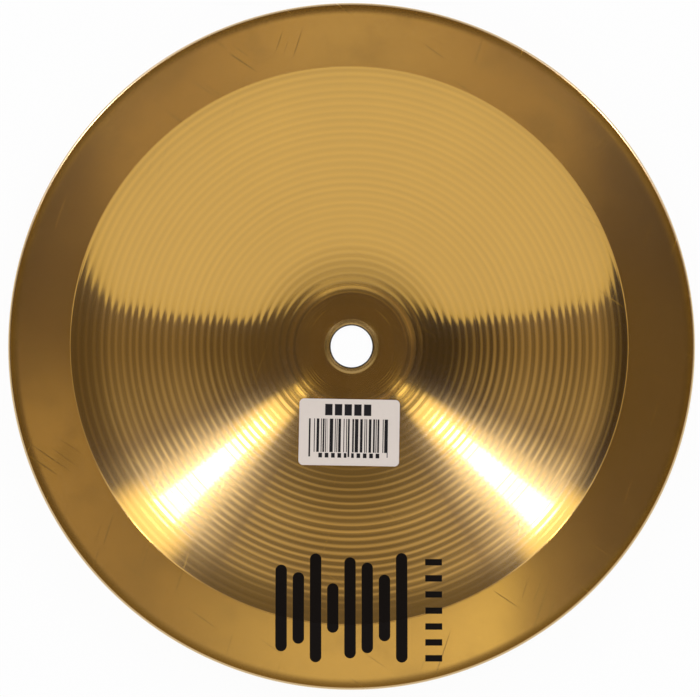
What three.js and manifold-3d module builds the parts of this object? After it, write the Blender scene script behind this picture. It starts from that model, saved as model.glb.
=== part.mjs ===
// A bell cymbal: one spun brass sheet with a shallow bowl inside a flat flange, lying on
// its crown with the bowl open upwards, and the paper stock label stuck inside the bowl.
// Millimetres, +Z up. The origin is the middle of the mounting hole on the crown's outer
// face, which is the lowest face of the part.

import * as THREE from 'three';
import { mergeVertices } from 'three/addons/utils/BufferGeometryUtils.js';
import Module from 'manifold-3d';

const wasm = await Module();
wasm.setup();

// The sheet: sizes across are diameters, the others are as measured on the sheet
const cymbalDiameter = 203.2;
const sheetThickness = 1.5;
const bowlDiameter = 165.2;
const crownDiameter = 27;
const bowlSlope = THREE.MathUtils.degToRad(16);

// From the crown outwards the bowl bends up to its full slope in two curves, a tighter and a
// wider one. Its shoulder then bends back a little, and a tight bend meets the flange.
const crownBendRadius = 95;
const crownBendSlope = THREE.MathUtils.degToRad(12);
const swellBendRadius = 290;
const shoulderBendRadius = 113;
const shoulderSlope = THREE.MathUtils.degToRad(11);
const rimBendRadius = 2;

// The mounting hole, and the low rounded lip that its punching leaves on the open side
const holeDiameter = 12.5;
const lipWidth = 2;
const lipHeight = 0.15;

// The stock label: its size seen from above, and where its middle lies
const labelWidth = 30;
const labelHeight = 19.8;
const labelCornerRadius = 1.4;
const labelThickness = 0.15;
const labelMiddleX = -0.7;
const labelMiddleY = -25.7;
const labelTurn = THREE.MathUtils.degToRad(-1);

// The gap that a piece keeps to the piece that carries it
const seatGap = 0.3;

// How finely round shapes are cut into flats
const turnedSides = 96;
const bendStepAngle = THREE.MathUtils.degToRad(2.5);
const edgeSteps = 8;
const lipSteps = 6;
const labelCornerSteps = 4;

const brassFinish = new THREE.MeshStandardMaterial({ color: 0xc29a52, roughness: 0.3, metalness: 1 });
const paperFinish = new THREE.MeshStandardMaterial({ color: 0xe6dfd9, roughness: 0.8, metalness: 0 });

// Goes on from the last point of a face along one bend, until the face has this slope
function addBend(face, bendRadius, endSlope) {
  const { radius, height, slope } = face.at(-1);
  const side = Math.sign(endSlope - slope);
  const steps = Math.ceil(Math.abs(endSlope - slope) / bendStepAngle);
  for (let step = 1; step <= steps; step += 1) {
    const nextSlope = slope + ((endSlope - slope) * step) / steps;
    face.push({
      radius: radius + side * bendRadius * (Math.sin(nextSlope) - Math.sin(slope)),
      height: height + side * bendRadius * (Math.cos(slope) - Math.cos(nextSlope)),
      slope: nextSlope,
    });
  }
}

// The bowl's open face, as points from the lip outwards. Each has the slope of the face
// there, so that any other face can be set off from it at right angles.
function bowlFace() {
  const face = [
    { radius: holeDiameter / 2 + lipWidth, height: sheetThickness, slope: 0 },
    { radius: crownDiameter / 2, height: sheetThickness, slope: 0 },
  ];
  addBend(face, crownBendRadius, crownBendSlope);
  addBend(face, swellBendRadius, bowlSlope);
  const coneStart = face.at(-1);
  const shoulderWidth = shoulderBendRadius * (Math.sin(bowlSlope) - Math.sin(shoulderSlope));
  const rimBendWidth = rimBendRadius * Math.sin(shoulderSlope);
  const coneEndRadius = bowlDiameter / 2 - rimBendWidth - shoulderWidth;
  face.push({
    radius: coneEndRadius,
    height: coneStart.height + (coneEndRadius - coneStart.radius) * Math.tan(bowlSlope),
    slope: bowlSlope,
  });
  addBend(face, shoulderBendRadius, shoulderSlope);
  addBend(face, rimBendRadius, 0);
  return face;
}

// A face set off from the bowl's open face: above it where the distance is positive
function faceSetOff(face, distance) {
  return face.map(({ radius, height, slope }) => new THREE.Vector2(
    radius - distance * Math.sin(slope),
    height + distance * Math.cos(slope),
  ));
}

// A closed outline turned round the vertical axis. The outline runs outwards along its
// lower side and back inwards along its upper side, so that its faces point out.
function turned(outline) {
  const closedOutline = [...outline, outline[0]];
  return new THREE.LatheGeometry(closedOutline, turnedSides).rotateX(Math.PI / 2);
}

function asManifold(geometry) {
  const bare = geometry.clone();
  bare.deleteAttribute('normal');
  bare.deleteAttribute('uv');
  const merged = mergeVertices(bare);
  return new wasm.Manifold(new wasm.Mesh({
    numProp: 3,
    vertProperties: merged.attributes.position.array,
    triVerts: Uint32Array.from(merged.index.array),
  }));
}

function asGeometry(manifold) {
  const { vertProperties, triVerts } = manifold.getMesh();
  const geometry = new THREE.BufferGeometry();
  geometry.setAttribute('position', new THREE.BufferAttribute(vertProperties, 3));
  geometry.setIndex(new THREE.BufferAttribute(triVerts, 1));
  geometry.computeVertexNormals();
  return geometry;
}

// The sheet's outline: out along its outer face, round the full-round edge, back in along
// the flange, the bowl and the crown, over the lip and down the wall of the hole
function sheetOutline() {
  const openFace = bowlFace();
  const holeRadius = holeDiameter / 2;
  const edgeRadius = sheetThickness / 2;
  const edgeMiddleRadius = cymbalDiameter / 2 - edgeRadius;
  const edgeMiddleHeight = openFace.at(-1).height - edgeRadius;
  const outline = [new THREE.Vector2(holeRadius, 0), ...faceSetOff(openFace, -sheetThickness)];
  for (let step = 0; step <= edgeSteps; step += 1) {
    const angle = Math.PI * (step / edgeSteps - 1 / 2);
    outline.push(new THREE.Vector2(
      edgeMiddleRadius + edgeRadius * Math.cos(angle),
      edgeMiddleHeight + edgeRadius * Math.sin(angle),
    ));
  }
  outline.push(...faceSetOff(openFace, 0).reverse());
  const lipMiddleRadius = holeRadius + lipWidth / 2;
  for (let step = 1; step <= lipSteps; step += 1) {
    const angle = (Math.PI * step) / lipSteps;
    outline.push(new THREE.Vector2(
      lipMiddleRadius + (lipWidth / 2) * Math.cos(angle),
      sheetThickness + lipHeight * Math.sin(angle),
    ));
  }
  return outline;
}

function cymbalBody() {
  return turned(sheetOutline());
}

// The label's outline from above, with round corners, about its own middle
function labelOutline() {
  const halfWidth = labelWidth / 2 - labelCornerRadius;
  const halfHeight = labelHeight / 2 - labelCornerRadius;
  const outline = new THREE.Shape();
  outline.absarc(halfWidth, halfHeight, labelCornerRadius, 0, Math.PI / 2);
  outline.absarc(-halfWidth, halfHeight, labelCornerRadius, Math.PI / 2, Math.PI);
  outline.absarc(-halfWidth, -halfHeight, labelCornerRadius, Math.PI, (3 * Math.PI) / 2);
  outline.absarc(halfWidth, -halfHeight, labelCornerRadius, (3 * Math.PI) / 2, 2 * Math.PI);
  outline.closePath();
  return outline;
}

// The label follows the bowl: it is cut out of a thin turned skin laid over the open face
function stockLabel() {
  const openFace = bowlFace();
  const underside = faceSetOff(openFace, seatGap);
  const topside = faceSetOff(openFace, seatGap + labelThickness).reverse();
  const skin = asManifold(turned([...underside, ...topside]));
  const cutter = new THREE.ExtrudeGeometry(labelOutline(), {
    depth: 2 * openFace.at(-1).height,
    bevelEnabled: false,
    curveSegments: labelCornerSteps,
  });
  cutter.rotateZ(labelTurn);
  cutter.translate(labelMiddleX, labelMiddleY, 0);
  return asGeometry(skin.intersect(asManifold(cutter)));
}

function namedPiece(name, geometry, material) {
  const piece = new THREE.Mesh(geometry, material);
  piece.name = name;
  return piece;
}

const bellCymbal = new THREE.Group();
bellCymbal.name = 'bell_cymbal';
bellCymbal.add(namedPiece('cymbal_body', cymbalBody(), brassFinish));
bellCymbal.add(namedPiece('stock_label', stockLabel(), paperFinish));

export default bellCymbal;
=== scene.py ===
"""A brass bell cymbal lying on its crown, open bowl up, seen from straight above.

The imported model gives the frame. The sheet is turned again here with its grooves, its lip
and its rounded edge, and the stock label is laid into the bowl. Everything is in metres.
"""

import math

import bmesh
import bpy
import numpy as np
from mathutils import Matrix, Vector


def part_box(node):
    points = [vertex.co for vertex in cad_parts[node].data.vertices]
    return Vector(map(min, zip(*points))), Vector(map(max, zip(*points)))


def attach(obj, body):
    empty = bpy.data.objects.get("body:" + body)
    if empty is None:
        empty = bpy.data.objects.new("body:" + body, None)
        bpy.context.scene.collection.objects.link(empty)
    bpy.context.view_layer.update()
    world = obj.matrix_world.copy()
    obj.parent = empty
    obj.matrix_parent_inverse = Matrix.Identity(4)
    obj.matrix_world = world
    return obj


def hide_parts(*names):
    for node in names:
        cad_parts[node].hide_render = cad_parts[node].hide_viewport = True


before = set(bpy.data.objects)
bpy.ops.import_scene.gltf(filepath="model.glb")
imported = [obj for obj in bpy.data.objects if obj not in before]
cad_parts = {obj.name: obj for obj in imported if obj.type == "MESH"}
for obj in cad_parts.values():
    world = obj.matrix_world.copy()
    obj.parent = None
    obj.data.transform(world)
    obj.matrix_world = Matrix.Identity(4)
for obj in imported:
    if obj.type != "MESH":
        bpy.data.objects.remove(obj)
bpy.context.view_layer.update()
sheet_low, sheet_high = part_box("cymbal_body")
label_low, label_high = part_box("stock_label")

# The sheet, as it is spun: the sizes that its box doesn't give
rim_radius = (sheet_high.x - sheet_low.x) / 2
flange_height = sheet_high.z
sheet_thickness = 0.0015
bowl_radius = 0.0826
crown_radius = 0.0135
bowl_slope = math.radians(16)
crown_bend_radius = 0.095
crown_bend_slope = math.radians(12)
swell_bend_radius = 0.290
shoulder_bend_radius = 0.113
shoulder_slope = math.radians(11)
rim_bend_radius = 0.002

# The mounting hole and its low rounded lip
hole_radius = 0.00625
lip_width = 0.002
lip_height = 0.00006
hole_edge_round = 0.0003

# The turned grooves: each falls slowly and comes back up in a short steep side
groove_pitch = 0.00208
groove_depth = 0.000034
groove_fall_share = 0.6
groove_drift_scale = 90.0
groove_drift = 0.5
bite_scale = 700.0
least_bite = 0.6
bite_range = 0.8
outer_groove_share = 0.5
groove_start = 0.0163
groove_seen = 0.0178
groove_grown = 0.026
groove_full = 0.043
turned_point_gap = 0.00024
outer_point_gap = 0.0009
turning_step = 0.00004
step_width = 0.00006

# Faint tool marks are left on the smooth metal round the crown's edge
tooled_start = 0.0125
tooled_end = 0.0157
tooled_fade = 0.0005
tool_pitch = 0.00072

# How finely the sheet is cut into faces, with a guard ring beside each sharp edge
edge_guard = 0.00008
turned_sides = 200
flange_rings = 8
crown_rings = 5
edge_rings = 13
lip_rings = 17

# Points nearer than the gap are merged, and a mark above the limit gives its face that finish
merge_gap = 0.000001
mark_limit = 0.4

# How far the bowl's edge runs out of true from the hole
bowl_shift = (-0.0007, 0.00025)
true_radius = 0.070

# How deep the grooves are at these radii, as a share of the full depth: shallower on the shoulder
shallow_radius = true_radius + 0.004
groove_depth_shares = [
    (groove_start, 0.0),
    (groove_seen, 0.42),
    (groove_grown, 0.65),
    (groove_full, 1.0),
    (true_radius, 1.0),
    (shallow_radius, 0.6),
    (bowl_radius, 0.55),
]

# The stock label
label_width = 0.030
label_height = 0.0198
label_corner = 0.0014
label_thickness = 0.00012
label_lift = 0.00002
label_turn = math.radians(-1)
label_middle = ((label_low + label_high) / 2).xy
label_columns = 120
label_rows = 80

# What is printed on the label: plain blocks, upright bars and a row of dashes
bar_module = 0.00026
bar_modules = 93
bar_top = 0.004
bar_foot = 0.0060
guard_bar_drop = 0.0014
middle_guard = 2.5
outer_guard = 43.5
guard_edge = 0.1
print_edge = 0.00004
header_blocks = 5
header_pitch = 0.0029
header_shift = 0.0004
header_rise = 0.0067
header_half_block = (0.0011, 0.0017)
dash_count = 10
dash_pitch = 0.0019
dash_drop = 0.0069
dash_half_size = (0.00055, 0.0007)
dash_row_gap = 0.0007

# The black print across the bowl's edge: a sound wave of upright bars, and a level meter
wave_bars = 8
wave_pitch = 0.0051
wave_bar_width = 0.0034
wave_middle = (-0.003, -0.0774)
wave_half_height = 0.0161
meter_dashes = 7
meter_pitch = 0.0047
meter_dash_size = (0.005, 0.0019)
meter_middle = (0.0243, -0.0781)
shortest_bar_share = 0.34

# The camera: the photograph's width is this wide at the flange
picture_pixels = (700, 697)
pixel_size = 0.0002956
camera_distance = 1.2
hole_pixel = (351.55, 346.4)
sensor_width = 36

# Hairline scratches in two directions, as bands per metre along them and across them
scratch_along = 45.0
scratch_across = 1300.0
scratch_turns = (1.25, -0.6)
scratch_limits = (0.77, 0.83)

# How fine the finishes' patterns are, in cells per metre
cloud_scale = 40.0
smudge_scale = 55.0
wide_mottle_scale = 320.0
fine_mottle_scale = 1100.0
tone_scale = 900.0
comb_scale = 1300.0
tool_line_scale = 1100.0
fine_line_scale = 3000.0
fibre_scale = 900.0

# How rough the finishes are, and what their marks add or take off
bowl_roughness = 0.055
groove_roughness = 0.01
comb_roughness = 0.02
near_crown_roughness = 0.005
smooth_roughness = 0.06
lip_roughness = 0.12
smudge_roughness = 0.025
rim_roughness = 0.14
scratch_roughness = 0.09
ink_roughness = 0.42
paper_roughness = 0.6
print_gloss = 0.15
specular_level = 0.1

# What the patterns add to the metal's tone, from deep to bright, and what is taken off it
cloud_share = 0.5
tone_share = 0.35
# Painted light: the grooves' crests are made lighter by this share
painted_crest_light_share = 0.5
bowl_darkening = 0.2
mottle_share = 0.3
smooth_darkening = 0.05
# Painted shade: the groove bottoms near the crown are darkened by this share
painted_groove_shade_share = 0.45

# How high the patterns stand, as a share of the relief
turned_line_share = 0.5
turned_grain_share = 0.08
smooth_line_share = 0.04
smooth_grain_share = 0.04
even_mark_share = 0.3
uneven_mark_share = 0.4

# Where a pattern's marks begin and are full
comb_limits = (0.35, 0.65)
smudge_limits = (0.48, 0.7)
painted_groove_shade_limits = (0.3, 1.0)

# The colours of the metal, the ink and the paper
brass_deep = (0.66, 0.366, 0.051, 1)
brass_bright = (0.79, 0.438, 0.061, 1)
# Painted shade: the darker brass in the groove bottoms near the crown
painted_groove_shade_brass = (0.36, 0.2, 0.028, 1)
lip_brass = (0.60, 0.36, 0.09, 1)
# Painted shade: the darker brass in the band inside the rim
painted_rim_shade_brass = (0.40, 0.19, 0.02, 1)
# Painted highlight: the pale line on the rim's edge
painted_rim_highlight_brass = (0.86, 0.66, 0.40, 1)
hole_edge_brass = (0.05, 0.033, 0.018, 1)
ink_black = (0.005, 0.003, 0.002, 1)
paper_shade = (0.77, 0.69, 0.61, 1)
paper_light = (0.805, 0.72, 0.64, 1)
paper_print = (0.014, 0.012, 0.013, 1)

# The clear lacquer, which is rubbed thin at the rim, where the same band of metal is darkened by a painted
# shade, and a painted highlight: a pale line on the rim's edge
coat_roughness = 0.15
coat_index = 1.65
outer_coat = 0.3
rubbed_share = 0.8
rubbed_and_shaded_rim_band = (rim_radius - 0.0036, rim_radius - 0.0007)
painted_rim_highlight_band = (rim_radius - 0.0008, rim_radius - 0.0004)

# The dull lip, and inside it the dark edge of the hole
lip_worn_band = (hole_radius + lip_width - 0.0003, hole_radius + lip_width + 0.0001)
hole_edge_band = (hole_radius + 0.00028, hole_radius + 0.00048)

# The lathe's fine lines stand up a little and spread what the metal mirrors towards the hole
bowl_spread = 0.9
outer_spread = 0.8
spread_turn = 0.25
relief_strength = 0.3
relief_distance = 0.00002

# The lamps stand this far round from the side, towards the back
lamp_turn = math.radians(41.5)
lamp_low = math.radians(23)
lamp_high = math.radians(48)
lamp_distance = 1.2
lamp_width = 0.062
lamp_radiance = 18.0

# Tones that more than one part of the studio has
dark_left = (0.056, 0.045, 0.026, 1)
white = (1, 1, 1, 1)

# The floor glows less where the brass mirrors it than where the camera sees it
floor_half_width = 4.0
floor_grey = (0.85, 0.85, 0.85, 1)
floor_seen_share = 0.96
floor_mirrored_share = 0.7

# Where the room's zones meet: by run from overhead, by v towards the front, and by rise
least_rise = 0.01
crown_zone_end = (0.056, 0.068)
ring_zone_end = (0.086, 0.1)
card_edge = (0.083, 0.099)
low_zone_start = (0.9, 2.2)
low_zone_back_share = 0.35
horizon_zone_end = (0.02, 0.3)


# Node trees

class Wire:
    """A socket's value, so that node maths reads as an expression."""

    def __init__(self, tree, socket):
        self.tree = tree
        self.socket = socket

    def maths(self, operation, *values):
        return self.tree.node("ShaderNodeMath", {"operation": operation}, dict(enumerate(values)))

    def __add__(self, other):
        return self.maths("ADD", self, other)

    def __sub__(self, other):
        return self.maths("SUBTRACT", self, other)

    def __mul__(self, other):
        return self.maths("MULTIPLY", self, other)

    def __truediv__(self, other):
        return self.maths("DIVIDE", self, other)

    def __rsub__(self, other):
        return self.maths("SUBTRACT", other, self)

    def __rtruediv__(self, other):
        return self.maths("DIVIDE", other, self)

    __radd__ = __add__
    __rmul__ = __mul__

    def __neg__(self):
        return self * -1

    def __abs__(self):
        return self.maths("ABSOLUTE", self)

    def cos(self):
        return self.maths("COSINE", self)

    def sin(self):
        return self.maths("SINE", self)

    def floor(self):
        return self.maths("FLOOR", self)

    def fraction(self):
        return self.maths("FRACT", self)

    def at_least(self, other):
        return self.maths("MAXIMUM", self, other)

    def at_most(self, other):
        return self.maths("MINIMUM", self, other)

    def hypot(self, other):
        squares = self * self + other * other
        return squares.maths("SQRT", squares)

    def ramp(self, start, end):
        """0 up to start and 1 from end on, with a soft rise between."""
        settings = {"interpolation_type": "SMOOTHSTEP", "clamp": True}
        return self.tree.node("ShaderNodeMapRange", settings, {0: self, 1: start, 2: end})

    def within(self, half, soft=0.00004):
        """1 where the value is nearer to zero than half, and 0 past it."""
        return 1 - abs(self).ramp(half - soft, half + soft)


class Tree:
    """A node tree that is written by expressions."""

    def __init__(self, node_tree):
        self.nodes = node_tree.nodes
        self.links = node_tree.links
        self.nodes.clear()

    def plug(self, value, socket):
        if isinstance(value, Wire):
            self.links.new(value.socket, socket)
        elif value is not None:
            socket.default_value = value

    def node(self, kind, settings=None, sockets=None, output=0):
        made = self.nodes.new(kind)
        for name, value in (settings or {}).items():
            setattr(made, name, value)
        for name, value in (sockets or {}).items():
            self.plug(value, made.inputs[name])
        return Wire(self, made.outputs[output]) if made.outputs else None

    def parts(self, vector):
        """The X, Y and Z of a vector."""
        split = self.nodes.new("ShaderNodeSeparateXYZ")
        self.plug(vector, split.inputs[0])
        return [Wire(self, socket) for socket in split.outputs]

    def vector(self, x, y, z=0.0):
        return self.node("ShaderNodeCombineXYZ", None, {0: x, 1: y, 2: z})

    def blend(self, share, low, high):
        """A colour from low to high by share."""
        settings = {"data_type": "RGBA"}
        return self.node("ShaderNodeMix", settings, {0: share, 6: low, 7: high}, 2)

    def noise(self, place, scale, detail):
        return self.node("ShaderNodeTexNoise", None, {"Vector": place, "Scale": scale, "Detail": detail})

    def lines(self, value, scale, detail):
        """Noise along one value, which draws uneven lines across it."""
        along = {"noise_dimensions": "1D"}
        return self.node("ShaderNodeTexNoise", along, {"W": value, "Scale": scale, "Detail": detail})

    def groove(self, radius, pitch):
        """0 on the crest of a turned groove and 1 at its bottom."""
        turns = radius / pitch + self.lines(radius, groove_drift_scale, 1.0) * groove_drift
        share = turns.fraction()
        return (share / groove_fall_share).at_most((1 - share) / (1 - groove_fall_share))


def material_tree(name):
    made = bpy.data.materials.new(name)
    made.use_nodes = True
    return made, Tree(made.node_tree)


# The sheet's shape

def bend_rise(run, bend_radius, start_slope):
    """How high a bend has risen after this run. A bend that eases off has a negative radius."""
    sine = math.sin(start_slope) + run / bend_radius
    return bend_radius * (math.cos(start_slope) - np.sqrt(1 - sine ** 2))


def open_height(radius):
    """The height of the open face at a distance from the hole's middle, without grooves."""
    crown_end = crown_radius + crown_bend_radius * math.sin(crown_bend_slope)
    swell_end = crown_end + swell_bend_radius * (math.sin(bowl_slope) - math.sin(crown_bend_slope))
    shoulder_end = bowl_radius - rim_bend_radius * math.sin(shoulder_slope)
    shoulder_width = shoulder_bend_radius * (math.sin(bowl_slope) - math.sin(shoulder_slope))
    cone_end = shoulder_end - shoulder_width

    def run(start, end):
        return np.clip(radius, start, end) - start

    height = sheet_thickness + bend_rise(run(crown_radius, crown_end), crown_bend_radius, 0)
    height = height + bend_rise(run(crown_end, swell_end), swell_bend_radius, crown_bend_slope)
    height = height + run(swell_end, cone_end) * math.tan(bowl_slope)
    height = height + bend_rise(run(cone_end, shoulder_end), -shoulder_bend_radius, bowl_slope)
    return height + bend_rise(run(shoulder_end, bowl_radius), -rim_bend_radius, shoulder_slope)


def face_slope(radius):
    step = 0.00001
    return np.arctan((open_height(radius + step) - open_height(radius - step)) / (2 * step))


def turned_share(radius):
    """How deep the grooves are: faint beside the crown, and shallower on the shoulder."""
    radii, shares = zip(*groove_depth_shares)
    return np.interp(radius, radii, shares)


def step_share(radius):
    """How much of the turning step is there: none beside the crown."""
    return np.interp(radius, [groove_start, groove_full], [0.0, 1.0])


def sheet_outline():
    """The sheet's closed outline, outer face first.

    A point is its radius, height, groove depth, 1 where turned, and 1 on the outer face.
    """
    turned_open = np.arange(groove_start, bowl_radius, turned_point_gap)
    turned_outer = np.arange(groove_start, bowl_radius, outer_point_gap)
    edge_start = rim_radius - sheet_thickness / 2
    flange = np.append(np.linspace(bowl_radius, edge_start - edge_guard, flange_rings), edge_start)
    flange = np.insert(flange, 1, bowl_radius + edge_guard)
    crown = np.linspace(hole_radius + lip_width, groove_start, crown_rings)[:-1]
    crown = np.append(crown, groove_start - edge_guard)

    points = []
    outer_radii = np.concatenate([crown, turned_outer, flange])
    slopes = face_slope(outer_radii)
    out_radius = outer_radii + sheet_thickness * np.sin(slopes)
    out_height = open_height(outer_radii) - sheet_thickness * np.cos(slopes)
    outer_turned = np.isin(outer_radii, turned_outer)
    outer_depth = outer_turned * outer_groove_share * turned_share(outer_radii)
    points += [(hole_radius + hole_edge_round, 0.0, 0.0, 0.0)]
    points += list(zip(out_radius, out_height, outer_depth, outer_turned))
    outer_count = len(points)
    edge_radius = sheet_thickness / 2
    for angle in np.linspace(-math.pi / 2, math.pi / 2, edge_rings)[1:-1]:
        radius = rim_radius - edge_radius + edge_radius * math.cos(angle)
        points.append((radius, flange_height - edge_radius + edge_radius * math.sin(angle), 0.0, 0.0))
    points += [(radius, float(open_height(radius)), 0.0, 0.0) for radius in flange[::-1]]
    step_radius = bowl_radius - step_width
    points.append((step_radius, float(open_height(step_radius)) - turning_step, 0.0, 0.0))
    turned_open = turned_open[::-1]
    turned_height = open_height(turned_open) - turning_step * step_share(turned_open)
    points += list(zip(turned_open, turned_height, -turned_share(turned_open), np.ones(len(turned_open))))
    points += [(radius, float(open_height(radius)), 0.0, 0.0) for radius in crown[::-1]]
    for share in np.linspace(1, -1, lip_rings)[1:]:
        radius = hole_radius + lip_width / 2 * (1 + share)
        rise = lip_height / 2 * (1 + math.cos(math.pi * share))
        points.append((radius, sheet_thickness + rise, 0.0, 0.0))
    points.append((hole_radius, sheet_thickness / 2, 0.0, 0.0))
    points.append((hole_radius, hole_edge_round, 0.0, 0.0))
    points = np.array(points + points[:1])
    on_outer = np.arange(len(points)) < outer_count
    return np.column_stack([points, on_outer])


def outline_object():
    points = sheet_outline()
    mesh = bpy.data.meshes.new("sheet_outline")
    places = np.insert(points[:, :2], 1, 0.0, axis=1)
    mesh.from_pydata(places.tolist(), [], [])
    for column, name in ((2, "depth"), (3, "turned"), (4, "outer")):
        attribute = mesh.attributes.new(name, "FLOAT", "POINT")
        attribute.data.foreach_set("value", points[:, column])
    made = bpy.data.objects.new("sheet_outline", mesh)
    bpy.context.collection.objects.link(made)
    return made, len(points)


def turning_tree():
    """Turns an outline round the Z axis, cuts the grooves and lets the bowl's edge run out of true."""
    group = bpy.data.node_groups.new("turned_sheet", "GeometryNodeTree")
    group.interface.new_socket("Sheet", in_out="OUTPUT", socket_type="NodeSocketGeometry")
    inputs = [
        ("Outline", "NodeSocketObject"),
        ("Rings", "NodeSocketInt"),
        ("Sides", "NodeSocketInt"),
        ("Groove Pitch", "NodeSocketFloat"),
        ("Groove Depth", "NodeSocketFloat"),
        ("Bowl Radius", "NodeSocketFloat"),
        ("Rim Radius", "NodeSocketFloat"),
        ("True Radius", "NodeSocketFloat"),
        ("Bowl Shift", "NodeSocketVector"),
        ("Turned Finish", "NodeSocketMaterial"),
        ("Pressed Finish", "NodeSocketMaterial"),
        ("Outer Finish", "NodeSocketMaterial"),
    ]
    for name, kind in inputs:
        group.interface.new_socket(name, in_out="INPUT", socket_type=kind)
    tree = Tree(group)
    source = tree.nodes.new("NodeGroupInput")
    given = {name: Wire(tree, source.outputs[name]) for name, _ in inputs}

    outline = tree.node("GeometryNodeObjectInfo", None, {0: given["Outline"]}, "Geometry")
    columns = given["Sides"] + 1
    grid = tree.node("GeometryNodeMeshGrid", None, {2: given["Rings"], 3: columns})
    index = tree.node("GeometryNodeInputIndex")
    ring = (index / columns).floor()
    turn = (index - ring * columns) / given["Sides"] * (2 * math.pi)

    place = tree.node("GeometryNodeInputPosition")
    at_ring = {"data_type": "FLOAT_VECTOR", "clamp": True}
    profile = tree.node("GeometryNodeSampleIndex", at_ring, {0: outline, 1: place, 2: ring})
    radius, _, height = tree.parts(profile)
    at_ring = {"data_type": "FLOAT", "clamp": True}
    number = {"data_type": "FLOAT"}
    names = ("depth", "turned", "outer")
    named = [tree.node("GeometryNodeInputNamedAttribute", number, {0: name}) for name in names]
    depth, turned, outer = [
        tree.node("GeometryNodeSampleIndex", at_ring, {0: outline, 1: value, 2: ring}) for value in named
    ]

    bite = tree.lines(radius, bite_scale, 0.0)
    wave = tree.groove(radius, given["Groove Pitch"])
    height = height + depth * given["Groove Depth"] * wave * (least_bite + bite * bite_range)

    past_true = radius.ramp(given["True Radius"], given["Bowl Radius"])
    linear = {"interpolation_type": "LINEAR", "clamp": True}
    limits = {0: radius, 1: given["Bowl Radius"], 2: given["Rim Radius"]}
    on_flange = tree.node("ShaderNodeMapRange", linear, limits)
    bowl_x, bowl_y, _ = tree.parts(given["Bowl Shift"])
    bowl_share = past_true * (1 - on_flange)
    x = radius * turn.cos() + bowl_x * bowl_share
    y = radius * turn.sin() + bowl_y * bowl_share

    on_points = {"data_type": "FLOAT", "domain": "POINT"}
    marked = tree.node("GeometryNodeStoreNamedAttribute", on_points, {0: grid, 2: "turned", 3: turned})
    marked = tree.node("GeometryNodeStoreNamedAttribute", on_points, {0: marked, 2: "outer", 3: outer})
    placed = tree.node("GeometryNodeSetPosition", None, {0: marked, 2: tree.vector(x, y, height)})
    closed = tree.node("GeometryNodeMergeByDistance", None, {0: placed, 2: merge_gap})
    smooth = tree.node("GeometryNodeSetShadeSmooth", None, {0: closed})
    finished = tree.node("GeometryNodeRealizeInstances", None, {0: smooth})
    finished = tree.node("GeometryNodeSetMaterial", None, {0: finished, 2: given["Pressed Finish"]})
    for name, finish in (("turned", "Turned Finish"), ("outer", "Outer Finish")):
        mark = tree.node("GeometryNodeInputNamedAttribute", number, {0: name})
        is_marked = mark.maths("GREATER_THAN", mark, mark_limit)
        parts = {0: finished, 1: is_marked, 2: given[finish]}
        finished = tree.node("GeometryNodeSetMaterial", None, parts)
    sink = tree.nodes.new("NodeGroupOutput")
    tree.plug(finished, sink.inputs[0])
    return group


def made_by(group, values, name):
    """The plain mesh object that a geometry tree makes with these input values."""
    maker = bpy.data.objects.new(name + "_maker", bpy.data.meshes.new(name + "_maker"))
    bpy.context.collection.objects.link(maker)
    modifier = maker.modifiers.new(name, "NODES")
    modifier.node_group = group
    for item in group.interface.items_tree:
        if item.in_out == "INPUT":
            modifier[item.identifier] = values[item.name]
    graph = bpy.context.evaluated_depsgraph_get()
    mesh = bpy.data.meshes.new_from_object(maker.evaluated_get(graph))
    mesh.name = name
    maker.modifiers.remove(modifier)
    bpy.data.objects.remove(maker)
    made = bpy.data.objects.new(name, mesh)
    bpy.context.collection.objects.link(made)
    return made


def turn_faces_out(mesh):
    work = bmesh.new()
    work.from_mesh(mesh)
    bmesh.ops.recalc_face_normals(work, faces=work.faces)
    work.to_mesh(mesh)
    work.free()


def make_sheet(turned, pressed, outer):
    outline, rings = outline_object()
    values = {
        "Outline": outline,
        "Rings": rings,
        "Sides": turned_sides,
        "Groove Pitch": groove_pitch,
        "Groove Depth": groove_depth,
        "Bowl Radius": bowl_radius,
        "Rim Radius": rim_radius,
        "True Radius": true_radius,
        "Bowl Shift": (*bowl_shift, 0.0),
        "Turned Finish": turned,
        "Pressed Finish": pressed,
        "Outer Finish": outer,
    }
    sheet = made_by(turning_tree(), values, "turned_brass_sheet")
    bpy.data.objects.remove(outline)
    turn_faces_out(sheet.data)
    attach(sheet, "root")
    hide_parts("cymbal_body")


# The stock label

def rounded(across, up):
    """A point of the label's square grid moved so that the corners are round."""
    half_width = label_width / 2 - label_corner
    half_height = label_height / 2 - label_corner
    past_x = np.maximum(np.abs(across) - half_width, 0) / label_corner
    past_y = np.maximum(np.abs(up) - half_height, 0) / label_corner
    length = np.hypot(past_x, past_y)
    least_length = 1e-9
    share = np.where(length > 0, np.maximum(past_x, past_y) / np.maximum(length, least_length), 1)
    x = np.sign(across) * (np.minimum(np.abs(across), half_width) + past_x * share * label_corner)
    y = np.sign(up) * (np.minimum(np.abs(up), half_height) + past_y * share * label_corner)
    return x, y


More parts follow.
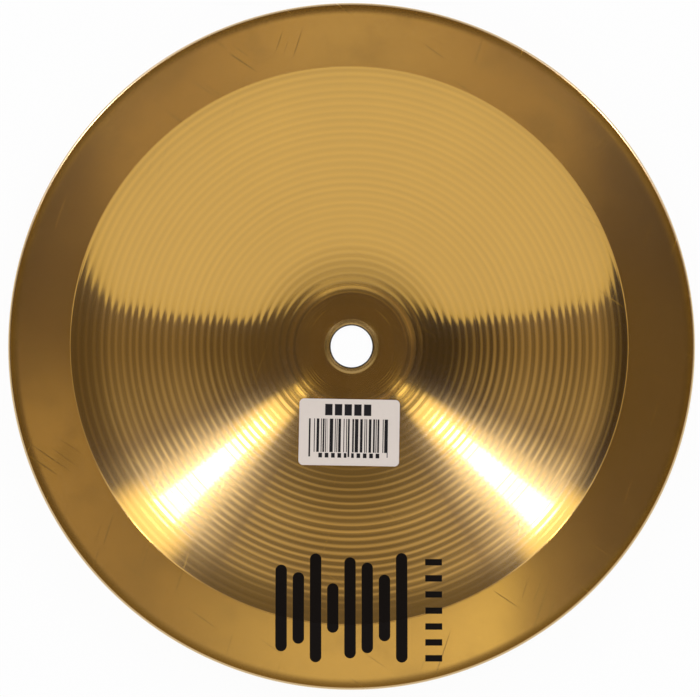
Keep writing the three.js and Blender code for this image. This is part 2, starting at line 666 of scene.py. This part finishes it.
def make_label(finish):
    across = np.linspace(-label_width / 2, label_width / 2, label_columns + 1)
    up = np.linspace(-label_height / 2, label_height / 2, label_rows + 1)
    across, up = np.meshgrid(across, up, indexing="ij")
    across, up = rounded(across, up)
    cosine, sine = math.cos(label_turn), math.sin(label_turn)
    x = label_middle.x + across * cosine - up * sine
    y = label_middle.y + across * sine + up * cosine
    z = open_height(np.hypot(x, y)) + label_lift
    low = np.stack([x, y, z], -1).reshape(-1, 3)
    high = low + (0, 0, label_thickness)
    count = len(low)
    grid = np.arange(count).reshape(across.shape)
    a, b, c, d = grid[:-1, :-1], grid[1:, :-1], grid[1:, 1:], grid[:-1, 1:]
    top = np.stack([a, b, c, d], -1).reshape(-1, 4) + count
    bottom = np.stack([a, d, c, b], -1).reshape(-1, 4)
    edge = np.concatenate([grid[:-1, 0], grid[-1, :-1], grid[:0:-1, -1], grid[0, :0:-1]])
    following = np.roll(edge, -1)
    sides = np.stack([edge, following, following + count, edge + count], -1)
    faces = np.concatenate([top, bottom, sides])
    mesh = bpy.data.meshes.new("paper_label")
    mesh.from_pydata(np.concatenate([low, high]).tolist(), [], faces.tolist())
    mesh.materials.append(finish)
    label = bpy.data.objects.new("paper_label", mesh)
    bpy.context.collection.objects.link(label)
    turn_faces_out(mesh)
    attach(label, "root")
    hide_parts("stock_label")


# Finishes

def brass_colour(tree, place, share):
    """The metal's own colour: a slow cloud over it, and the share that a finish adds."""
    cloud = tree.noise(place, cloud_scale, 3.0)
    return tree.blend(cloud * cloud_share + share, brass_deep, brass_bright)


def scratched(tree, x, y, turn):
    """Where hairline scratches lie, all in one direction."""
    cosine, sine = math.cos(turn), math.sin(turn)
    along = x * (cosine * scratch_along) + y * (sine * scratch_along)
    across = y * (cosine * scratch_across) - x * (sine * scratch_across)
    return tree.noise(tree.vector(along, across), 1.0, 0.0).ramp(*scratch_limits)


def inked(x, y):
    """Where the black print lies: upright bars like a sound wave, and a meter's dashes."""
    middle_x, middle_y = wave_middle
    step = (x - (middle_x - wave_bars / 2 * wave_pitch)) / wave_pitch
    number = step.floor()
    swing = abs((number * 1.9 + 0.75).sin())
    tall = wave_half_height * (shortest_bar_share + swing * (1 - shortest_bar_share))
    across = (step - number - 0.5) * wave_pitch
    along = (abs(y - middle_y) - tall + wave_bar_width / 2).at_least(0)
    bars = across.hypot(along).within(wave_bar_width / 2) * (x - middle_x).within(wave_bars / 2 * wave_pitch)

    dash_width, dash_height = meter_dash_size
    middle_x, middle_y = meter_middle
    step = (y - middle_y) / meter_pitch + meter_dashes / 2
    across = (step.fraction() - 0.5) * meter_pitch
    column = (x - middle_x).within(dash_width / 2) * (y - middle_y).within(meter_dashes / 2 * meter_pitch)
    return bars + column * across.within(dash_height / 2)


def lacquered(name, finish, spread=0.0, print_share=1, coat=1):
    """Brass under clear lacquer, with the black print on it unless print_share is 0.

    finish is the function that gives the colour, the roughness and the relief.
    """
    brass, tree = material_tree(name)
    place = tree.node("ShaderNodeTexCoord", None, None, "Object")
    x, y, _ = tree.parts(place)
    radius = x.hypot(y)
    colour, roughness, relief = finish(tree, place, radius)
    ink = inked(x, y) * print_share
    rubbed = radius.ramp(*rubbed_and_shaded_rim_band)
    first_turn, second_turn = scratch_turns
    scratch = scratched(tree, x, y, first_turn) + scratched(tree, x, y, second_turn)
    raised = {"Height": relief, "Strength": relief_strength, "Distance": relief_distance}
    surface = {
        "Base Color": tree.blend(ink, colour, ink_black),
        "Metallic": 1 - ink,
        "Roughness": (roughness + scratch * scratch_roughness) * (1 - ink) + ink * ink_roughness,
        "Specular IOR Level": specular_level,
        "Coat Weight": (1 - ink) * (1 - rubbed * rubbed_share) * coat,
        "Coat Roughness": coat_roughness,
        "Coat IOR": coat_index,
        "Normal": tree.node("ShaderNodeBump", None, raised),
    }
    if spread:
        surface["Anisotropic"] = spread
        surface["Anisotropic Rotation"] = spread_turn
    shader = tree.node("ShaderNodeBsdfPrincipled", None, surface)
    tree.node("ShaderNodeOutputMaterial", None, {"Surface": shader})
    return brass


def turned(tree, place, radius):
    """Turned metal: grooves, and in them fine lines from the lathe, with the crests painted lighter and a
    painted shade in the groove bottoms near the crown.
    """
    groove = tree.groove(radius, groove_pitch)
    comb = tree.lines(radius, comb_scale, 1.0).ramp(*comb_limits)
    tone = tree.lines(radius, tone_scale, 2.0)
    near_crown = 1 - radius.ramp(groove_start, groove_grown)
    # Painted light: the crests are coloured lighter than the groove bottoms
    share = tone * tone_share + (1 - groove) * painted_crest_light_share - bowl_darkening
    colour = brass_colour(tree, place, share)
    # Painted shade: the groove bottoms near the crown are coloured darker
    painted_groove_shade = groove.ramp(*painted_groove_shade_limits) * near_crown * painted_groove_shade_share
    colour = tree.blend(painted_groove_shade, colour, painted_groove_shade_brass)
    roughness = bowl_roughness + groove * groove_roughness + comb * comb_roughness
    roughness = roughness + near_crown * near_crown_roughness
    grain = tree.noise(place, fine_line_scale, 2.0)
    relief = tree.lines(radius, fine_line_scale, 2.0) * turned_line_share + grain * turned_grain_share
    return colour, roughness, relief


def pressed(tree, place, radius):
    """The flange, the crown and the edge: smooth metal, dull on the lip and dark at the hole's edge, with a
    painted shade inside the rim and a painted highlight line on the rim's edge.
    """
    worn = 1 - radius.ramp(*lip_worn_band)
    dark_at_hole_edge = 1 - radius.ramp(*hole_edge_band)
    mottle = tree.noise(place, wide_mottle_scale, 3.0) * mottle_share
    mottle = mottle + tree.noise(place, fine_mottle_scale, 1.0) * mottle_share
    painted_rim_shade = radius.ramp(*rubbed_and_shaded_rim_band)
    colour = tree.blend(worn, brass_colour(tree, place, mottle - smooth_darkening), lip_brass)
    # Painted shade: the metal is darkened in the band inside the rim
    colour = tree.blend(painted_rim_shade, colour, painted_rim_shade_brass)
    # Painted highlight: a pale line of colour on the rim's edge
    colour = tree.blend(radius.ramp(*painted_rim_highlight_band), colour, painted_rim_highlight_brass)
    # Darker at the hole's edge
    colour = tree.blend(dark_at_hole_edge, colour, hole_edge_brass)
    smudge = tree.noise(place, smudge_scale, 4.0).ramp(*smudge_limits)
    roughness = smooth_roughness + worn * lip_roughness + smudge * smudge_roughness
    roughness = roughness + painted_rim_shade * rim_roughness
    tooled = radius.ramp(tooled_start, tooled_start + tooled_fade)
    tooled = tooled * (1 - radius.ramp(tooled_end - tooled_fade, tooled_end))
    even_marks = (radius * (2 * math.pi / tool_pitch)).cos() * even_mark_share
    comb = even_marks + tree.lines(radius, tool_line_scale, 0.0) * uneven_mark_share
    grain = tree.noise(place, fine_line_scale, 2.0)
    relief = tree.lines(radius, fine_line_scale, 2.0) * smooth_line_share + grain * smooth_grain_share
    return colour, roughness, relief + comb * tooled


def printed(across, up):
    """Where the label is printed, from its middle: blocks, bars and dashes, and no lettering."""
    block_half_width, block_half_height = header_half_block
    from_header = across + header_shift
    step = from_header / header_pitch + header_blocks / 2
    block = ((step.fraction() - 0.5) * header_pitch).within(block_half_width)
    block_row = (up - header_rise).within(block_half_height)
    header = block * block_row * from_header.within(header_blocks / 2 * header_pitch)

    module = (across / bar_module + bar_modules / 2).floor()
    beat = (module * 2.39).sin() + (module * 1.27 + 0.8).sin() + (module * 0.71 + 2.0).sin() * 0.7
    dark = beat.ramp(-0.05, 0.05)
    from_middle = module - (bar_modules - 1) / 2
    guard = from_middle.within(middle_guard, guard_edge) + 1 - from_middle.within(outer_guard, guard_edge)
    foot = -bar_foot - guard * guard_bar_drop
    bars = dark * across.within(bar_modules / 2 * bar_module) * up.ramp(foot, foot + 2 * print_edge)
    bars = bars * (1 - up.ramp(bar_top - print_edge, bar_top + print_edge))

    dash_half_width, dash_half_height = dash_half_size
    step = across / dash_pitch + dash_count / 2
    dash = ((step.fraction() - 0.5) * dash_pitch).within(dash_half_width)
    row = across.within(dash_count / 2 * dash_pitch) * (up + dash_drop).within(dash_half_height)
    clear = 1 - across.within(dash_row_gap)
    return header + bars.at_most(1) + dash * row * clear


def paper_finish():
    paper, tree = material_tree("label_paper")
    place = tree.node("ShaderNodeTexCoord", None, None, "Object")
    x, y, _ = tree.parts(place)
    cosine, sine = math.cos(label_turn), math.sin(label_turn)
    from_x = x - label_middle.x
    from_y = y - label_middle.y
    print_mask = printed(from_x * cosine + from_y * sine, from_y * cosine - from_x * sine)
    fibre = tree.noise(place, fibre_scale, 3.0)
    plain = tree.blend(fibre, paper_shade, paper_light)
    colour = tree.blend(print_mask, plain, paper_print)
    surface = {
        "Base Color": colour,
        "Roughness": paper_roughness - print_mask * print_gloss,
        "Specular IOR Level": specular_level,
    }
    shader = tree.node("ShaderNodeBsdfPrincipled", None, surface)
    tree.node("ShaderNodeOutputMaterial", None, {"Surface": shader})
    return paper


# The studio

def make_floor():
    finish, tree = material_tree("studio_floor")
    path = tree.nodes.new("ShaderNodeLightPath")
    seen = Wire(tree, path.outputs["Is Camera Ray"])
    mirrored = Wire(tree, path.outputs["Is Glossy Ray"])
    glow = tree.node("ShaderNodeEmission", None, {"Color": white, "Strength": 1.0})
    matt = tree.node("ShaderNodeBsdfDiffuse", None, {"Color": floor_grey})
    share = (seen * floor_seen_share + mirrored * floor_mirrored_share).at_most(1)
    both = tree.node("ShaderNodeMixShader", None, {0: share, 1: matt, 2: glow})
    tree.node("ShaderNodeOutputMaterial", None, {"Surface": both})
    half = floor_half_width
    mesh = bpy.data.meshes.new("floor")
    corners = [(-half, -half, 0), (half, -half, 0), (half, half, 0), (-half, half, 0)]
    mesh.from_pydata(corners, [], [(0, 1, 2, 3)])
    mesh.materials.append(finish)
    floor = bpy.data.objects.new("floor", mesh)
    bpy.context.collection.objects.link(floor)


def overhead(tree, u, v, run):
    """Straight overhead: the dark middle that the crown mirrors, and round it the flange's ring."""
    crown_middle = (0.138, 0.104, 0.032, 1)
    crown_edge = (0.10, 0.077, 0.03, 1)
    right = (0.156, 0.125, 0.074, 1)
    right_high = (0.137, 0.108, 0.062, 1)
    left_high = (0.187, 0.153, 0.12, 1)
    left_low = (0.485, 0.43, 0.45, 1)
    top_edge = (0.495, 0.432, 0.45, 1)
    top_middle = (0.665, 0.632, 0.78, 1)
    low_mid = (0.403, 0.352, 0.326, 1)
    low_side = (0.28, 0.24, 0.22, 1)
    low_bright = (0.83, 0.815, 0.86, 1)
    low_peak = (1.04, 1.05, 1.2, 1)
    low_ridge = (1.28, 1.31, 1.42, 1)
    left_fade = (-0.02, 0.004)
    top_fade = (0.0, 0.045)
    top_left_edge = (-0.065, -0.056)
    lit_start = (-0.055, -0.005)
    lit_end = (0.0372, 0.0435)
    peak_start = (0.018, 0.032)
    ridge_start = (0.032, 0.037)
    side_start = (0.04, 0.058)
    bottom_left_edge = (-0.075, -0.05)
    top_start = (-0.01, 0.01)
    right_edge = (0.0555, 0.0595)
    right_fade = (0.0, 0.025)
    dark_from_run = (0.0775, 0.084)
    dark_towards_back = (-0.01, 0.03)
    dark_beside = (0.025, 0.055)
    dark_most = 0.6
    crown_fade = (0.0, 0.04)

    left = tree.blend(v.ramp(*left_fade), left_low, left_high)
    top = tree.blend(abs(u).ramp(*top_fade), top_middle, top_edge)
    top = tree.blend(u.ramp(*top_left_edge), left, top)
    lit = u.ramp(*lit_start) * (1 - u.ramp(*lit_end))
    bright = tree.blend(u.ramp(*peak_start), low_bright, low_peak)
    bright = tree.blend(u.ramp(*ridge_start), bright, low_ridge)
    bottom = tree.blend(lit, tree.blend(u.ramp(*side_start), low_mid, low_side), bright)
    bottom = tree.blend(u.ramp(*bottom_left_edge), left, bottom)
    ring = tree.blend(v.ramp(*top_start), bottom, top)
    ring = tree.blend(u.ramp(*right_edge), ring, tree.blend(v.ramp(*right_fade), right, right_high))
    dark = run.ramp(*dark_from_run) * v.ramp(*dark_towards_back) * abs(u).ramp(*dark_beside) * dark_most
    ring = tree.blend(dark, ring, dark_left)
    crown = tree.blend(run.ramp(*crown_fade), crown_middle, crown_edge)
    return tree.blend(run.ramp(*crown_zone_end), crown, ring)


def dark_sides(tree, u, v, run):
    """Beyond the ring: dark on both sides, paler lower down, with a panel towards the back."""
    dark_right = (0.118, 0.097, 0.066, 1)
    side_left = (0.375, 0.33, 0.29, 1)
    side_right = (0.285, 0.247, 0.213, 1)
    panel_low = (0.168, 0.152, 0.14, 1)
    panel_high = (0.66, 0.615, 0.585, 1)
    left_to_right = (-0.2, 0.2)
    side_fade = (0.33, 0.7)
    panel_half_width = 0.058
    panel_widening = 0.6
    panel_near_extra = 0.08
    panel_near_end = (0.42, 0.56)
    panel_fade = (0.43, 0.78)
    panel_start = (0.12, 0.2)
    panel_edge = (-0.006, 0.006)
    panel_end = (1.0, 1.5)

    dark = tree.blend(u.ramp(*left_to_right), dark_left, dark_right)
    side = tree.blend(u.ramp(*left_to_right), side_left, side_right)
    sky = tree.blend(run.ramp(*side_fade), dark, side)
    width = (v * panel_widening).at_least(panel_half_width)
    width = width + (1 - run.ramp(*panel_near_end)) * panel_near_extra
    panel = tree.blend(run.ramp(*panel_fade), panel_low, panel_high)
    share = v.ramp(*panel_start) * (1 - (abs(u) - width).ramp(*panel_edge)) * (1 - run.ramp(*panel_end))
    return tree.blend(share, sky, panel)


def lamp_light(tree, sky, u, v, run):
    """The glow round each lamp, and the brighter patches between it and overhead."""
    lamp_glow = (1.45, 1.56, 2.05, 1)
    near_glow = (2.4, 2.45, 2.8, 1)
    reach_steps = [(ring_zone_end, 0.05), ((0.3, 0.45), 0.15), ((0.45, 0.6), 0.28), ((0.58, 0.74), 0.52)]
    spill_start = (0.3, 0.7)
    spill_share = 0.12
    crown_patch = ((0.015, 0.045), (0.046, 0.056))
    crown_patch_share = 0.3
    flange_patch = ((0.093, 0.106), (0.135, 0.165))
    flange_patch_share = 0.9
    foot_patch = ((0.17, 0.28), (0.5, 0.6))
    foot_patch_share = 0.7
    beside_angles = (22, 6)
    spill_angles = (42, 14)
    patch_angles = (8, 2)
    foot_angles = (11, 3)
    towards_lamp = (abs(u) * math.cos(lamp_turn) + v * math.sin(lamp_turn)) / run

    def sector(outer, inner):
        """1 within the inner angle from the lamp's direction and 0 past the outer one, in degrees."""
        return towards_lamp.ramp(math.cos(math.radians(outer)), math.cos(math.radians(inner)))

    def patch(start, end):
        """1 between where the patch is full and where it begins to fade, by run."""
        return run.ramp(*start) * (1 - run.ramp(*end))

    reach = sum(run.ramp(*step) * share for step, share in reach_steps)
    beside = sector(*beside_angles)
    spill = sector(*spill_angles) * run.ramp(*spill_start)
    sky = tree.blend((beside * beside * reach).at_least(spill * spill_share), sky, lamp_glow)
    near_patch = patch(*crown_patch) * crown_patch_share + patch(*flange_patch) * flange_patch_share
    lamp_foot = patch(*foot_patch) * foot_patch_share
    bright = sector(*patch_angles) * near_patch + sector(*foot_angles) * lamp_foot
    return tree.blend(bright, sky, near_glow)


def front_card(tree, sky, v, run):
    """The large pale card towards the front, which the back half of the bowl mirrors."""
    card_near = (0.51, 0.51, 0.495, 1)
    card = (0.77, 0.775, 0.765, 1)
    card_far = (0.87, 0.875, 0.865, 1)
    near_fade = (0.09, 0.36)
    far_fade = (0.3, 1.1)

    wall = tree.blend(run.ramp(*near_fade), card_near, tree.blend(run.ramp(*far_fade), card, card_far))
    return tree.blend((-v).ramp(*card_edge), sky, wall)


def make_room():
    """The room that the brass mirrors, by direction: u and v are a direction's run per rise."""
    low_room = (0.47, 0.43, 0.345, 1)
    pale = (0.82, 0.80, 0.77, 1)
    world = bpy.data.worlds.new("room")
    bpy.context.scene.world = world
    world.use_nodes = True
    tree = Tree(world.node_tree)
    way = tree.node("ShaderNodeTexCoord", None, None, "Generated")
    x, y, z = tree.parts(way)
    rise = z.at_least(least_rise)
    u = x / rise
    v = y / rise
    run = u.hypot(v)

    sky = dark_sides(tree, u, v, run)
    sky = tree.blend(1 - run.ramp(*ring_zone_end), sky, overhead(tree, u, v, run))
    sky = lamp_light(tree, sky, u, v, run)
    sky = front_card(tree, sky, v, run)
    low = (run - v.at_least(0) * low_zone_back_share).ramp(*low_zone_start)
    sky = tree.blend(low, sky, low_room)
    sky = tree.blend(1 - z.ramp(*horizon_zone_end), sky, pale)
    seen = tree.node("ShaderNodeLightPath", None, None, "Is Camera Ray")
    sky = tree.blend(seen, sky, white)
    shader = tree.node("ShaderNodeBackground", None, {"Color": sky, "Strength": 1.0})
    tree.node("ShaderNodeOutputWorld", None, {"Surface": shader})


def make_lamp(name, side):
    """A long narrow lamp, which the bowl mirrors as a white streak from near the hole to the flange."""
    polar = (lamp_low + lamp_high) / 2
    light = bpy.data.lights.new(name, "AREA")
    light.shape = "RECTANGLE"
    light.size = lamp_width
    light.size_y = 2 * lamp_distance * math.tan((lamp_high - lamp_low) / 2)
    light.energy = lamp_radiance * math.pi * light.size * light.size_y
    lamp = bpy.data.objects.new(name, light)
    bpy.context.collection.objects.link(lamp)
    run = math.sin(polar)
    place = (side * run * math.cos(lamp_turn), run * math.sin(lamp_turn), math.cos(polar))
    lamp.location = [lamp_distance * part for part in place]
    lamp.rotation_euler = (polar, 0, math.pi + math.atan2(-place[0], place[1]))


def make_camera():
    data = bpy.data.cameras.new("camera")
    data.sensor_width = sensor_width
    data.lens = sensor_width * camera_distance / (picture_pixels[0] * pixel_size)
    data.clip_start = 0.01
    data.clip_end = 20
    camera = bpy.data.objects.new("camera", data)
    bpy.context.collection.objects.link(camera)
    x = (picture_pixels[0] / 2 - hole_pixel[0]) * pixel_size
    y = (hole_pixel[1] - picture_pixels[1] / 2) * pixel_size
    camera.location = (x, y, flange_height + camera_distance)
    bpy.context.scene.camera = camera


make_camera()
bowl_finish = lacquered("turned_brass", turned, bowl_spread)
flange_finish = lacquered("pressed_brass", pressed)
outer_finish = lacquered("outer_brass", turned, outer_spread, 0, outer_coat)
make_sheet(bowl_finish, flange_finish, outer_finish)
make_label(paper_finish())
make_floor()
make_room()
make_lamp("left_lamp", -1)
make_lamp("right_lamp", 1)
bpy.context.scene.view_settings.view_transform = "Standard"
